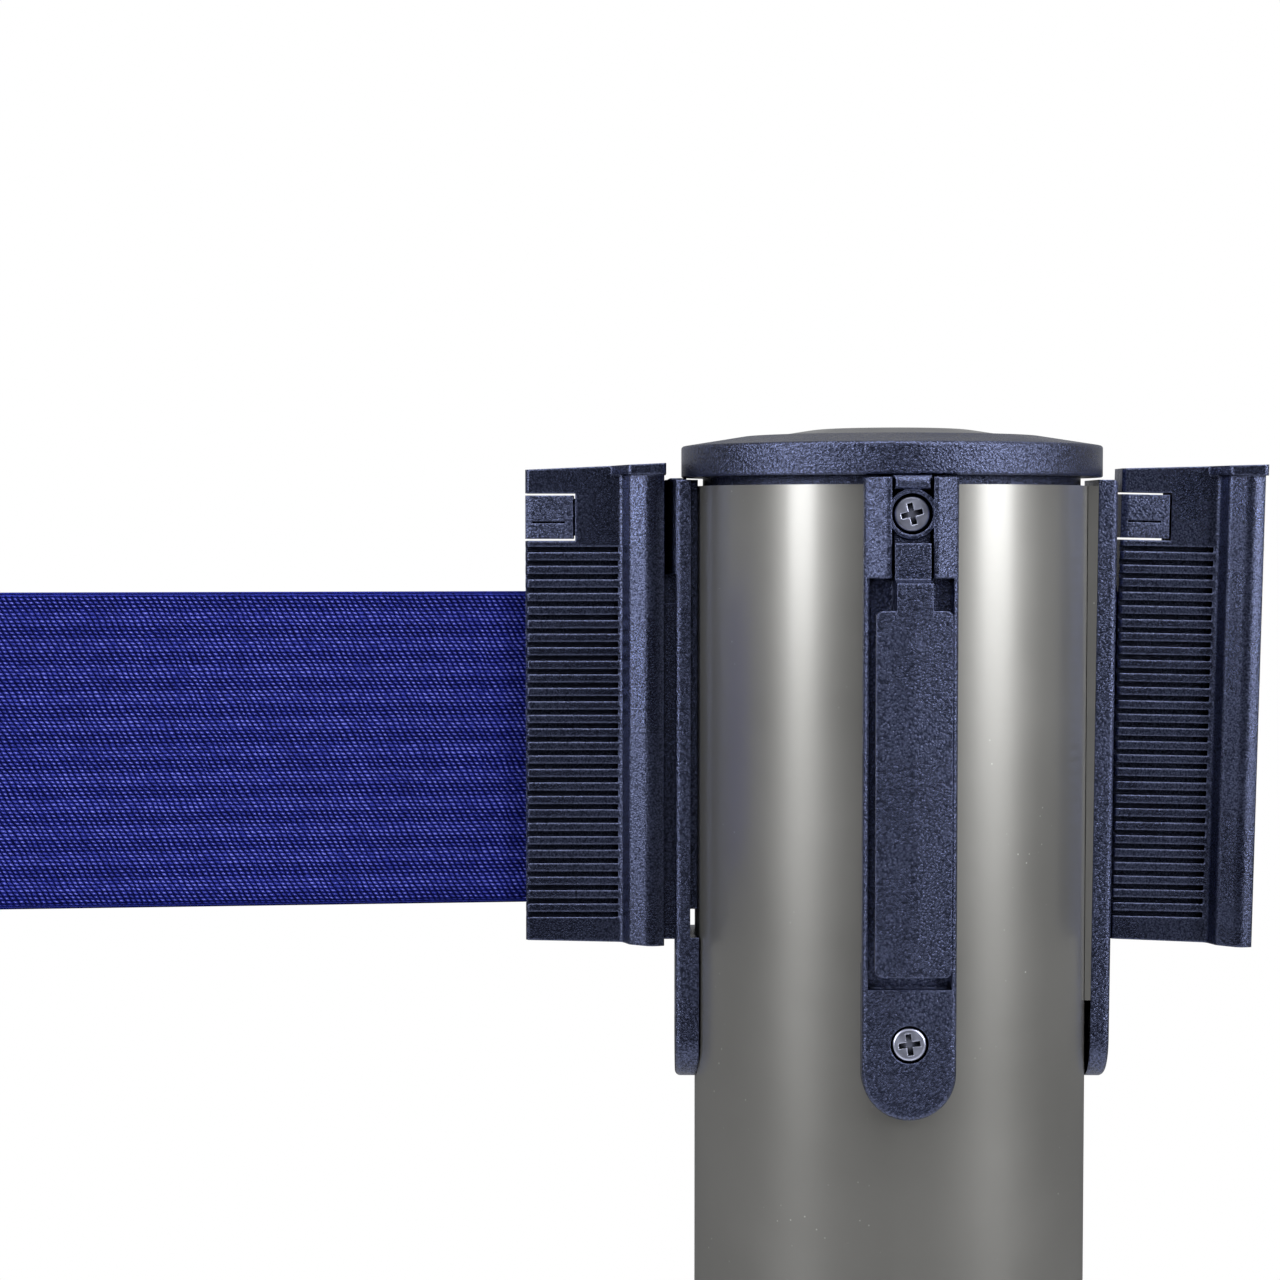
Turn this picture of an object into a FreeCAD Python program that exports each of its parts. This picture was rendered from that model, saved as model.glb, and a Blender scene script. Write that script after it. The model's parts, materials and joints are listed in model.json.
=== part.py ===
import math
import os
import re

import FreeCAD
import Part
import Sketcher

# A retractable belt stanchion: a tube on a weighted round base, with a belt cassette in its head, a cap,
# three receivers, its own belt end parked at the outlet and a neighbour's belt end on the left receiver.
# Millimetres, +Z up, origin on the floor under the post. -Y is the front, +X the side of the belt outlet.

SIZES = {
    # post
    "tube_r": 31.75, "tube_wall": 1.2, "tube_foot": 18, "tube_top": 990.8, "post_top": 1000,
    # base, from the floor up
    "base_r": 175, "ring_inner_r": 148, "ring_foot": 3, "ring_lip": 3, "ring_rise": 7,
    "weight_r": 168, "weight_rim": 7.5, "weight_crown_r": 60,
    "recess_r": 15, "recess_deep": 8, "washer_r": 12, "washer_thick": 2,
    "bolt_r": 5, "bolt_gap": 0.5, "bolt_head_half": 8.5, "bolt_head_tall": 6, "bolt_top": 42, "plug_top": 38,
    "cover_edge_r": 171.6, "cover_wall": 1.2, "cover_shoulder": 9.6, "cover_crown": 28, "cover_crown_r": 46,
    "cover_edge_round": 4, "cover_crown_round": 60,
    "collar_r": 41, "collar_tall": 8, "collar_round": 3,
    # clearance of a fit, and the reach of a cutting tool past the piece it cuts
    "fit_gap": 0.05, "past": 1,
    # cap
    "cap_r": 34, "cap_low": 992.2, "cap_rim_top": 997.2, "cap_flat_r": 24, "cap_flat_top": 998.8,
    "cap_round": 0.5, "skirt_low": 982.4, "skirt_inner_r": 25.5, "cap_ceiling": 995,
    "disc_r": 19, "disc_seat": 998, "disc_edge": 998.9, "disc_gap": 0.2, "disc_crown_r": 12,
    "disc_edge_round": 0.3, "disc_crown_round": 20,
    # receivers and outlet plate: a plate on the tube, measured outward from the post's axis
    "plate_half": 7.15, "plate_top": 991.8, "plate_low": 894.5, "plate_face": 35, "plate_floor": 33.2,
    "plate_round": 0.9, "plate_root": 31.2, "rim_inner": 6.35, "pad_top": 914.5,
    "edge_back": 32.6, "edge_half": 5, "edge_low": 922.5, "window_low": 918.1, "screw_spare": 0.15,
    "outlet_lean": 0.5, "backing_low": 908, "backing_root": 30.6,
    # T rail of a receiver
    "rail_low": 917.3, "rail_high": 971.9, "rail_half": 5.7, "rail_in": 39, "rail_out": 40.7, "web_half": 3,
    "rail_root": 32.9, "rail_edge": 40.2, "web_overlap": 0.5,
    "rail_low_round": 1, "rail_high_round": 1, "neck_half": 2.7, "neck_high": 976, "neck_slope": 0.5,
    "tongue_high": 981.9, "tongue_face": 37.2,
    # upper end of a receiver: two wings beside a channel with the screw's boss and a nub
    "wing_low": 976.7, "wing_ridge": 36.72, "wing_side": 34.9, "wing_outer": 6.75, "channel_half": 3.15,
    "wing_ridge_half": 3.9, "channel_floor": 33.8, "boss_r": 3.75, "boss_face": 35.9,
    "sill_face": 35.5,
    "nub_half": 2.9, "nub_low": 989.9, "nub_high": 992.1, "nub_face": 36.6, "nub_round": 1,
    # plate screws
    "screw_high": 986.3, "screw_low": 906.2, "screw_r": 1.5, "screw_length": 9.4, "head_thick": 1.5,
    "head_high_r": 2.8, "head_low_r": 2.6, "head_high_face": 35.2, "head_low_face": 35,
    "head_round": 0.5, "recess_gap": 0.3, "cross_half": 0.42, "cross_reach": 1.65, "cross_deep": 0.9,
    # belt
    "belt_low": 923, "belt_wide": 50.8, "belt_half": 0.3, "outlet_half": 1.5, "outlet_spare": 1.4,
    # belt end, measured from its belt side (reach) and from its middle plane (half thickness)
    "grip_half": 4, "grip_chamfer": 0.5, "grip_reach": 15.6, "flare_reach": 16.8, "flare_half": 6.5,
    "ridge_reach": 20.2, "ridge_half": 8.1, "lip_reach": 21.7, "lip_half": 7.4, "end_reach": 22.4,
    "end_half": 7, "channel_reach": 18.2, "hook_reach": 20.5, "hook_half": 6, "mouth_half": 3.3,
    "grip_round": 1, "flare_round": 1.2, "ridge_round": 2.4, "end_round": 0.3,
    "end_low": 917.3, "end_low_hook": 916.8, "end_high": 993.4, "end_high_hook": 994.5,
    "shelf_low": 992.7, "shelf_start": 13.5, "shelf_half": 8.3, "shelf_reach": 22.7,
    "shelf_near_round": 1, "shelf_end_round": 0.8,
    "stop_gap": 0.1, "slot_top": 982.6, "slot_half": 0.45, "slot_spare": 0.8, "slot_mouth": 1.2,
    # ribs of the grip
    "rib_first": 980.6, "rib_pitch": 2.19, "rib_count": 28, "rib_gap": 0.9, "rib_deep": 1, "rib_reach": 15.3,
    # belt pin and its pocket
    "pin_reach": 6.5, "pin_r": 1.5, "pin_low": 920.6, "pin_high": 976.4, "pin_round": 0.3, "pocket_r": 2.4,
    # shell screws
    "shell_screw_reach": 12.2, "shell_screw_low": 920.9, "shell_screw_high": 977.9, "shell_screw_r": 1.1,
    "shell_head_r": 1.9, "shell_head_thick": 1.3, "shell_recess_r": 2.1, "shell_recess_deep": 1.5,
    "shell_screw_length": 6.2, "shell_hole_spare": 0.2,
    "small_cross_reach": 1.1, "small_cross_half": 0.3, "small_cross_deep": 0.7,
    # lock button
    "button_reach": 7.7, "button_low": 982.3, "button_high": 989.3, "button_gap": 0.35, "button_bevel": 1,
    "slit_z": 984.8, "slit_tall": 0.35, "slit_start": 1, "slit_end": 6.4, "slit_deep": 0.5,
    "tang_reach": 12.3, "tang_low": 982.8, "tang_high": 988.8, "tang_front": 2.6, "tang_back": 0.6,
    "cavity_half": 2.8, "cavity_reach": 12.9, "cavity_low": 982.3, "cavity_high": 989.3,
    "tang_root": 0.5, "fold_near": 8.3, "fold_far": 10.7, "fold_wide": 1.2, "fold_half": 1.2, "fold_count": 4,
    # where the two belt ends are
    "incoming_side": -59.2, "own_side": 36.1, "own_roll": 1.2,
    # neighbour's belt: bend at the belt end, then a lean to the front over its run
    "lean_start": -57.5, "lean_end": -157, "lean_slope": 0.105, "hem_tail": 14, "hem_rod_r": 1.5,
    # cassette in the head of the tube
    "spool_x": -4.5, "spool_y": 5.5, "shaft_r": 4, "shaft_low": 899.5,
    "cup_low": 898, "cup_floor": 901, "cup_high": 916, "cup_r": 30.3, "cup_bore_r": 18.8,
    "lid_thick": 2.5, "hub_r": 8, "hub_hole_r": 8.8, "hub_low": 903, "top_low": 978.8, "top_high": 982,
    "flange_r": 22.8, "flange_thick": 1.8, "flange_low": 919.6, "flange_high": 975.4, "core_r": 9,
    "spool_bore_r": 5, "bush_r": 6, "bush_tall": 6,
    "pillar_r": 2.2, "pillar_circle": 26.6, "pillar_end": 1.5, "pilot_deep": 6.5,
    "guide_r": 1.5, "guide_x": 25.3, "guide_front": -1.85, "guide_back": 2.2,
    # belt wound on the spool, and the spring strip in its cup
    "roll_start": 9.4, "roll_end": 22.1, "roll_pitch": 0.66, "lead_gap": 3, "lead_end_gap": 1.2,
    "spring_start": 8.5, "spring_end": 18.1, "spring_pitch": 0.9, "spring_half": 0.13,
    "spring_low": 903.5, "spring_high": 913.5,
}

FUNCTIONS = ("sqrt", "abs", "tan")
X_AXIS = FreeCAD.Vector(1, 0, 0)
Y_AXIS = FreeCAD.Vector(0, 1, 0)
Z_AXIS = FreeCAD.Vector(0, 0, 1)
TURN_TO = {
    "x": FreeCAD.Rotation(Y_AXIS, 90),
    "y": FreeCAD.Rotation(X_AXIS, -90),
    "z": FreeCAD.Rotation(),
}
PLANE_ROLE = {"x": "YZ_Plane", "y": "XZ_Plane", "z": "XY_Plane"}
BELT_HIGH = "belt_low + belt_wide"

doc = FreeCAD.newDocument("BeltStanchion")
sheet = doc.addObject("Spreadsheet::Sheet", "Sizes")
nodes = []


def fill_sheet():
    """Write each driving size into its own cell, under its own name."""
    for row, (alias, size) in enumerate(SIZES.items(), start=1):
        sheet.set(f"A{row}", str(size))
        sheet.setAlias(f"A{row}", alias)
    doc.recompute()


def bound(formula):
    """Turn a formula of size names into one that reads the sheet."""
    def name(match):
        word = match.group()
        return word if word in FUNCTIONS else "Sizes." + word
    return re.sub(r"[a-z][a-z_]+", name, formula)


def number(formula):
    """Work a formula out."""
    return float(sheet.evalExpression(bound(formula)))


def bind(item, **formulas):
    """Tie an object's properties to the sheet."""
    for name, formula in formulas.items():
        item.setExpression(name, bound(formula))


def move_to(item, x="0", y="0", z="0"):
    """Tie an object's place to the sheet."""
    for axis, formula in zip("xyz", (x, y, z)):
        item.setExpression(f"Placement.Base.{axis}", bound(formula))


def block(x, y, z):
    """A block between a low and a high plane on each axis."""
    item = doc.addObject("Part::Box", "Block")
    for size, (low, high) in zip(("Length", "Width", "Height"), (x, y, z)):
        bind(item, **{size: f"({high}) - ({low})"})
    move_to(item, x[0], y[0], z[0])
    return item


def even(half):
    """The two planes at equal distances from the middle."""
    return f"-({half})", half


def rod(axis, radius, low, high, at=("0", "0")):
    """A cylinder along an axis; at holds its place on the two other axes, in their order."""
    item = doc.addObject("Part::Cylinder", "Rod")
    item.Placement = FreeCAD.Placement(FreeCAD.Vector(), TURN_TO[axis])
    bind(item, Radius=radius, Height=f"({high}) - ({low})")
    place = list(at)
    place.insert("xyz".index(axis), low)
    move_to(item, *place)
    return item


def tube(axis, outer, inner, low, high, at=("0", "0")):
    """A ring or sleeve along an axis."""
    hole = rod(axis, inner, f"{low} - past", f"{high} + past", at)
    return cut(rod(axis, outer, low, high, at), hole)


def joined(*items):
    """One object from several that touch."""
    if len(items) == 1:
        return items[0]
    item = doc.addObject("Part::MultiFuse", "Joined")
    item.Shapes = list(items)
    return item


def cut(base, *tools):
    """An object less its cutting tools."""
    item = doc.addObject("Part::Cut", "Less")
    item.Base = base
    item.Tool = joined(*tools)
    return item


def rounded(item, radius, chosen):
    """Round the edges that the chosen test picks."""
    doc.recompute()
    picked = [i for i, edge in enumerate(item.Shape.Edges, start=1) if chosen(edge)]
    if not picked:
        raise RuntimeError(f"{item.Label}: no edge to round")
    result = doc.addObject("Part::Fillet", "Rounded")
    result.Base = item
    result.Edges = [(i, number(radius), number(radius)) for i in picked]
    return result


def sketch_on(body, axis, offset="0"):
    """A sketch across an axis at an offset along it, attached to its body's own origin plane."""
    plane = next(o for o in body.Origin.OriginFeatures if o.Role == PLANE_ROLE[axis])
    sketch = body.newObject("Sketcher::SketchObject", "Outline")
    sketch.AttachmentSupport = [(plane, "")]
    sketch.MapMode = "FlatFace"
    # the XZ plane faces -Y, so its offset is counted the other way
    sign = "-" if axis == "y" else ""
    sketch.setExpression("AttachmentOffset.Base.z", bound(f"{sign}({offset})"))
    return sketch


def corner_arc(before, corner, after, radius):
    """The arc that rounds a corner, its ends along the outline, and which of its ends comes first."""
    back = (before - corner).normalize()
    ahead = (after - corner).normalize()
    half_angle = back.getAngle(ahead) / 2
    start = corner + back * (radius / math.tan(half_angle))
    end = corner + ahead * (radius / math.tan(half_angle))
    centre = corner + (back + ahead).normalize() * (radius / math.sin(half_angle))
    # a sketch's arcs all run anticlockwise, so at a right turn the outline meets the arc's second end first
    left_turn = ahead.cross(back).z > 0
    low, high = (start, end) if left_turn else (end, start)
    angles = [math.atan2(point.y - centre.y, point.x - centre.x) for point in (low, high)]
    if angles[1] < angles[0]:
        angles[1] += 2 * math.pi
    return Part.ArcOfCircle(Part.Circle(centre, Z_AXIS, radius), *angles), start, end, left_turn


def draw(sketch, points):
    """A closed outline; a point is (first, second) or (first, second, radius of its corner)."""
    places = [FreeCAD.Vector(number(p[0]), number(p[1]), 0) for p in points]
    count = len(points)
    starts, ends, arcs = list(places), list(places), {}
    for i, point in enumerate(points):
        if len(point) == 3:
            after = places[(i + 1) % count]
            arc, ends[i], starts[i], left_turn = corner_arc(places[i - 1], places[i], after, number(point[2]))
            arcs[i] = (arc, (1, 2) if left_turn else (2, 1))
    lines = []
    for i in range(count):
        lines.append(sketch.addGeometry(Part.LineSegment(starts[i], ends[(i + 1) % count])))

    def fixed(geometry, end, point):
        for kind, formula in (("DistanceX", point[0]), ("DistanceY", point[1])):
            index = sketch.addConstraint(Sketcher.Constraint(kind, -1, 1, geometry, end, number(formula)))
            sketch.setExpression(f"Constraints[{index}]", bound(formula))

    for i, point in enumerate(points):
        before, after = lines[i - 1], lines[i]
        if i not in arcs:
            sketch.addConstraint(Sketcher.Constraint("Coincident", before, 2, after, 1))
            fixed(after, 1, point)
            continue
        arc, (first, last) = arcs[i]
        curve = sketch.addGeometry(arc)
        corner = sketch.addGeometry(Part.Point(places[i]), True)
        sketch.addConstraint(Sketcher.Constraint("Tangent", before, 2, curve, first))
        sketch.addConstraint(Sketcher.Constraint("Tangent", curve, last, after, 1))
        index = sketch.addConstraint(Sketcher.Constraint("Radius", curve, number(point[2])))
        sketch.setExpression(f"Constraints[{index}]", bound(point[2]))
        sketch.addConstraint(Sketcher.Constraint("PointOnObject", corner, 1, before))
        sketch.addConstraint(Sketcher.Constraint("PointOnObject", corner, 1, after))
        fixed(corner, 1, point)


def prism(axis, points, low, high):
    """A body with one outline all along an axis, from low to high."""
    body = doc.addObject("PartDesign::Body", "Prism")
    # a sketch across Y faces -Y, so the pad starts at its high side
    sketch = sketch_on(body, axis, high if axis == "y" else low)
    draw(sketch, points)
    pad = body.newObject("PartDesign::Pad", "Pad")
    pad.Profile = sketch
    bind(pad, Length=f"({high}) - ({low})")
    sketch.Visibility = False
    return body


def turned(points):
    """A body turned about Z from an outline of (radius, height) points."""
    body = doc.addObject("PartDesign::Body", "Turned")
    sketch = sketch_on(body, "y")
    draw(sketch, points)
    feature = body.newObject("PartDesign::Revolution", "Revolution")
    feature.Profile = sketch
    feature.ReferenceAxis = (sketch, ["V_Axis"])
    feature.Angle = 360
    return body


def node(label, item, placement=None):
    """Name a finished piece and put it in its place."""
    item.Label = label
    if placement is not None:
        item.Placement = placement.multiply(item.Placement)
    nodes.append(item)
    return item


def computed(label, shape, placement=None):
    """A piece whose curve follows a formula, as a plain feature."""
    item = doc.addObject("Part::Feature", "Formed")
    item.Shape = shape
    item.Placement = placement or FreeCAD.Placement()
    return node(label, item)


# ---------------------------------------------------------------- base


def make_base():
    """Cast weight on a rubber edge ring, under a domed cover, with the bolt that holds the post."""
    ring = turned([
        ("ring_inner_r", "0"), ("base_r", "0", "ring_lip / 2"), ("base_r", "ring_rise", "ring_lip / 3"),
        ("base_r - ring_lip", "ring_rise"), ("base_r - ring_lip", "ring_foot"), ("ring_inner_r", "ring_foot"),
    ])
    node("edge_ring", ring)
    weight = turned([
        ("bolt_r + bolt_gap", "ring_foot + recess_deep"), ("recess_r", "ring_foot + recess_deep"),
        ("recess_r", "ring_foot"), ("weight_r", "ring_foot"), ("weight_r", "weight_rim"),
        ("weight_crown_r", "tube_foot"), ("bolt_r + bolt_gap", "tube_foot"),
    ])
    node("base_weight", weight)
    cover = turned([
        ("cover_edge_r", "ring_foot"), ("cover_edge_r", "cover_shoulder", "cover_edge_round"),
        ("cover_crown_r", "cover_crown", "cover_crown_round"), ("tube_r + fit_gap", "cover_crown"),
        ("tube_r + fit_gap", "cover_crown - cover_wall"),
        ("cover_crown_r", "cover_crown - cover_wall", "cover_crown_round - cover_wall"),
        ("cover_edge_r - cover_wall", "cover_shoulder - cover_wall", "cover_edge_round - cover_wall"),
        ("cover_edge_r - cover_wall", "ring_foot"),
    ])
    node("base_cover", cover)
    collar = turned([
        ("tube_r + fit_gap", "cover_crown"), ("collar_r", "cover_crown"),
        ("collar_r", "cover_crown + collar_tall", "collar_round"),
        ("tube_r + fit_gap", "cover_crown + collar_tall"),
    ])
    node("post_collar", collar)
    plug = cut(
        rod("z", "tube_r - tube_wall - fit_gap", "tube_foot", "plug_top"),
        rod("z", "bolt_r + fit_gap", "tube_foot - past", "plug_top + past"),
    )
    node("foot_plug", plug)
    washer_low = "ring_foot + recess_deep - washer_thick"
    node("bolt_washer", tube("z", "washer_r", "bolt_r + bolt_gap", washer_low, "ring_foot + recess_deep"))
    half_corner = "bolt_head_half / sqrt(3)"
    head = prism("z", [
        ("2 * " + half_corner, "0"), (half_corner, "bolt_head_half"), ("-" + half_corner, "bolt_head_half"),
        ("-2 * " + half_corner, "0"), ("-" + half_corner, "-bolt_head_half"),
        (half_corner, "-bolt_head_half"),
    ], f"{washer_low} - bolt_head_tall", washer_low)
    node("post_bolt", joined(head, rod("z", "bolt_r", washer_low, "bolt_top")))


# ---------------------------------------------------------------- post and cap


def make_tube():
    """The post: a steel tube with the belt outlet and two rows of four screw holes."""
    holes = []
    for height in ("screw_high", "screw_low"):
        for axis in ("x", "y"):
            holes.append(rod(axis, "screw_r + screw_spare", "-tube_r - past", "tube_r + past", ("0", height)))
    bore = rod("z", "tube_r - tube_wall", "tube_foot - past", "tube_top + past")
    node("post_tube", cut(rod("z", "tube_r", "tube_foot", "tube_top"), bore, outlet_slot(), *holes))


def make_cap():
    """The head cap with its skirt in the tube, and the plain disc set into its top."""
    skirt_r = "tube_r - tube_wall - fit_gap"
    cap = turned([
        ("0", "cap_ceiling"), ("skirt_inner_r", "cap_ceiling"), ("skirt_inner_r", "skirt_low"),
        (skirt_r, "skirt_low"), (skirt_r, "cap_low"), ("cap_r", "cap_low", "cap_round / 2"),
        ("cap_r", "cap_rim_top", "cap_round"), ("cap_flat_r", "cap_flat_top"),
        ("disc_r + disc_gap", "cap_flat_top"), ("disc_r + disc_gap", "disc_seat"), ("0", "disc_seat"),
    ])
    holes = []
    for axis in ("x", "y"):
        holes.append(rod(axis, "screw_r + screw_spare", "-tube_r", "tube_r", ("0", "screw_high")))
    node("head_cap", cut(cap, *holes))
    disc = turned([
        ("0", "disc_seat"), ("disc_r", "disc_seat"), ("disc_r", "disc_edge", "disc_edge_round"),
        ("disc_crown_r", "post_top", "disc_crown_round"), ("0", "post_top"),
    ])
    node("cap_disc", disc)


# ---------------------------------------------------------------- receivers and outlet plate


def on_face(edge):
    """True for an edge that lies in the outer face of a plate."""
    face = number("plate_face")
    return all(abs(vertex.X - face) < 1e-6 for vertex in edge.Vertexes)


def plate_blank(root):
    """A plate with a round lower end and rounded outer edges."""
    slab = block((root, "plate_face"), even("plate_half"), ("plate_low + plate_half", "plate_top"))
    end = rod("x", "plate_half", root, "plate_face", ("0", "plate_low + plate_half"))
    return rounded(joined(slab, end), "plate_round", on_face)


def plate_tools(face_high, face_low):
    """What is cut from every plate: the post's curve and the screw holes."""
    tools = [rod("z", "tube_r + fit_gap", "plate_low - past", "plate_top + past")]
    for height, radius, face in (
        ("screw_high", "head_high_r", face_high), ("screw_low", "head_low_r", face_low),
    ):
        seat = f"{face} - head_thick"
        tools.append(rod("x", f"{radius} + recess_gap", seat, "wing_ridge + past", ("0", height)))
        tools.append(rod("x", "screw_r + screw_spare", "plate_root - past", "wing_ridge + past", ("0", height)))
    return tools


def receiver_gaps():
    """What keeps a receiver's upper length off the post: a gap under each edge, and a window at its foot."""
    under = ("plate_root - past", "edge_back")
    tall = ("edge_low", "plate_top + past")
    wide = "plate_half + past"
    return [
        block(under, ("edge_half", wide), tall),
        block(under, (f"-({wide})", "-edge_half"), tall),
        block(under, even(wide), ("window_low", "edge_low")),
    ]


def wing(side):
    """One of the two slanted wings beside the channel at a receiver's top."""
    return prism("z", [
        ("plate_floor", f"{side} * channel_half"), ("wing_ridge", f"{side} * channel_half"),
        ("wing_ridge", f"{side} * wing_ridge_half"), ("wing_side", f"{side} * wing_outer"),
        ("plate_floor", f"{side} * wing_outer"),
    ], "wing_low", "plate_top")


def make_receiver(label, angle):
    """A plate with a T rail that a belt end slides down on."""
    pocket = block(("plate_floor", "plate_face + past"), even("rim_inner"), ("pad_top", "wing_low"))
    channel = block(("channel_floor", "plate_face + past"), even("channel_half"), ("wing_low", "nub_low"))
    base = cut(plate_blank("plate_root"), pocket, channel, *receiver_gaps())
    web = block(("rail_root", "rail_in + web_overlap"), even("web_half"), ("rail_low", "rail_high"))
    rail = prism("x", [
        ("-rail_half", "rail_low", "rail_low_round"), ("rail_half", "rail_low", "rail_low_round"),
        ("rail_half", "rail_high", "rail_high_round"), ("-rail_half", "rail_high", "rail_high_round"),
    ], "rail_in", "rail_out")
    # the rail's face slopes back a little on both sides of its middle
    slopes = []
    for side in (1, -1):
        slopes.append(prism("z", [
            ("rail_out", "0"), ("rail_out + past", "0"), ("rail_out + past", f"{side} * (rail_half + past)"),
            ("rail_edge", f"{side} * (rail_half + past)"),
        ], "rail_low - past", "rail_high + past"))
    neck = prism("y", [
        ("rail_root", "rail_high - past"), ("rail_out", "rail_high - past"), ("rail_out", "neck_high"),
        ("tongue_face", "neck_high + neck_slope"), ("tongue_face", "tongue_high"), ("rail_root", "tongue_high"),
    ], "-neck_half", "neck_half")
    boss = rod("x", "boss_r", "plate_floor", "boss_face", ("0", "screw_high"))
    sill = block(("plate_floor", "sill_face"), even("neck_half"), ("tongue_high - past", "screw_high"))
    nub = block(("plate_floor", "nub_face"), even("nub_half"), ("nub_low", "nub_high"))
    nub = rounded(nub, "nub_round", lambda edge: all(v.X > number("nub_face") - 1e-6 for v in edge.Vertexes))
    whole = joined(base, web, cut(rail, *slopes), neck, wing(1), wing(-1), boss, sill, nub)
    item = cut(whole, *plate_tools("head_high_face", "head_low_face"))
    node(label, item, FreeCAD.Placement(FreeCAD.Vector(), FreeCAD.Rotation(Z_AXIS, angle)))


def outlet_slot():
    """The opening that the belt comes out through."""
    slot_z = ("belt_low - outlet_spare", f"{BELT_HIGH} + outlet_spare")
    return block(("tube_r - 3 * tube_wall", "plate_face + past"), even("outlet_half"), slot_z)


def outlet_lean():
    """The outlet plate leans outward from its lower end."""
    pivot = FreeCAD.Vector(number("tube_r"), 0, number("plate_low"))
    return FreeCAD.Placement(FreeCAD.Vector(), FreeCAD.Rotation(Y_AXIS, number("outlet_lean")), pivot)


def make_outlet_plate():
    """The flat-backed plate on the belt's side, and the steel wedge that fills in behind it."""
    plate = cut(plate_blank("tube_r + 2 * fit_gap"), outlet_slot(), *plate_tools("plate_face", "plate_face"))
    node("outlet_plate", plate, outlet_lean())

    def front(height):
        return f"tube_r + fit_gap + ({height} - plate_low) * tan(outlet_lean)"
    wedge = prism("y", [
        ("backing_root", "backing_low"), (front("backing_low"), "backing_low"),
        (front("tube_top"), "tube_top"), ("backing_root", "tube_top"),
    ], "-plate_half", "plate_half")
    post = rod("z", "tube_r + fit_gap / 2", "backing_low - past", "tube_top + past")
    hole = rod("x", "screw_r + screw_spare", "backing_root - past", "plate_face", ("0", "screw_high"))
    node("outlet_backing", cut(wedge, post, outlet_slot(), hole))


def cross_screw(label, head_r, head_thick, length, shank_r, cross, twist):
    """A round-headed screw with a cross recess, its head's top at the origin and its shank down -Z."""
    screw = turned([
        ("0", f"-({length})"), (shank_r, f"-({length}) + {shank_r} / 2"), (shank_r, f"-({head_thick})"),
        (head_r, f"-({head_thick})"), (head_r, "0", "head_round"), ("0", "0"),
    ])
    half, reach, deep = cross
    bars = [
        block(even(reach), even(half), (f"-{deep}", "past")),
        block(even(half), even(reach), (f"-{deep}", "past")),
    ]
    screw = cut(screw, *bars)
    screw.Placement = FreeCAD.Placement(FreeCAD.Vector(), FreeCAD.Rotation(Z_AXIS, twist))
    return node(label, screw)


def make_plate_screws():
    """Two screws through each plate into the cap's skirt and the spring cup."""
    cross = ("cross_half", "cross_reach", "cross_deep")
    sides = (("front", -90, 14, 8), ("left", 180, 40, 70), ("back", 90, 25, 55), ("outlet", 0, 62, 33))
    for name, angle, twist_high, twist_low in sides:
        turn = FreeCAD.Rotation(Z_AXIS, angle)
        high_face = "plate_face" if name == "outlet" else "head_high_face"
        for level, head_r, face, height, twist in (
            ("upper", "head_high_r", high_face, "screw_high", twist_high),
            ("lower", "head_low_r", "head_low_face", "screw_low", twist_low),
        ):
            screw = cross_screw(f"{name}_{level}_screw", head_r, "head_thick", "screw_length", "screw_r", cross,
                                twist)
            place = turn.multVec(FreeCAD.Vector(number(face), 0, number(height)))
            set_in = FreeCAD.Placement(place, turn.multiply(TURN_TO["x"]))
            if name == "outlet":
                set_in = outlet_lean().multiply(set_in)
            screw.Placement = set_in.multiply(screw.Placement)


# ---------------------------------------------------------------- belt end


def shell_body(side):
    """Half of a belt end's outer form, ribbed on its grip; side is -1 at the front and 1 at the rear."""
    def half(formula):
        return f"{side} * ({formula})"
    body = doc.addObject("PartDesign::Body", "Shell")
    sketch = sketch_on(body, "z", "end_low_hook - past")
    draw(sketch, [
        ("0", "0"), ("0", half("grip_half - grip_chamfer")), ("grip_chamfer", half("grip_half")),
        ("grip_reach", half("grip_half"), "grip_round"), ("flare_reach", half("flare_half"), "flare_round"),
        ("ridge_reach", half("ridge_half"), "ridge_round"), ("lip_reach", half("lip_half")),
        ("end_reach", half("end_half"), "end_round"), ("end_reach", "0"),
    ])
    pad = body.newObject("PartDesign::Pad", "Pad")
    pad.Profile = sketch
    bind(pad, Length="end_high_hook - end_low_hook + 3 * past")
    doc.recompute()
    # each groove is cut toward +Y, from the front face inward or from its own floor outward
    groove_start = "-grip_half" if side < 0 else "grip_half - rib_deep"
    groove_sketch = sketch_on(body, "y", groove_start)
    low, high = "rib_first - rib_gap / 2", "rib_first + rib_gap / 2"
    draw(groove_sketch, [
        ("-past", low), ("rib_reach", low, "0.49 * rib_gap"), ("rib_reach", high, "0.49 * rib_gap"),
        ("-past", high),
    ])
    groove = body.newObject("PartDesign::Pocket", "Groove")
    groove.Profile = groove_sketch
    bind(groove, Length="rib_deep")
    doc.recompute()
    ribs = body.newObject("PartDesign::LinearPattern", "Ribs")
    ribs.Originals = [groove]
    ribs.Direction = (groove_sketch, ["V_Axis"])
    ribs.Reversed = True
    bind(ribs, Length="rib_pitch * (rib_count - 1)", Occurrences="rib_count")
    body.Tip = ribs
    doc.recompute()
    if body.Shape.Volume > pad.Shape.Volume - 100:
        raise RuntimeError("the ribs are not cut")
    return body


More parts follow.
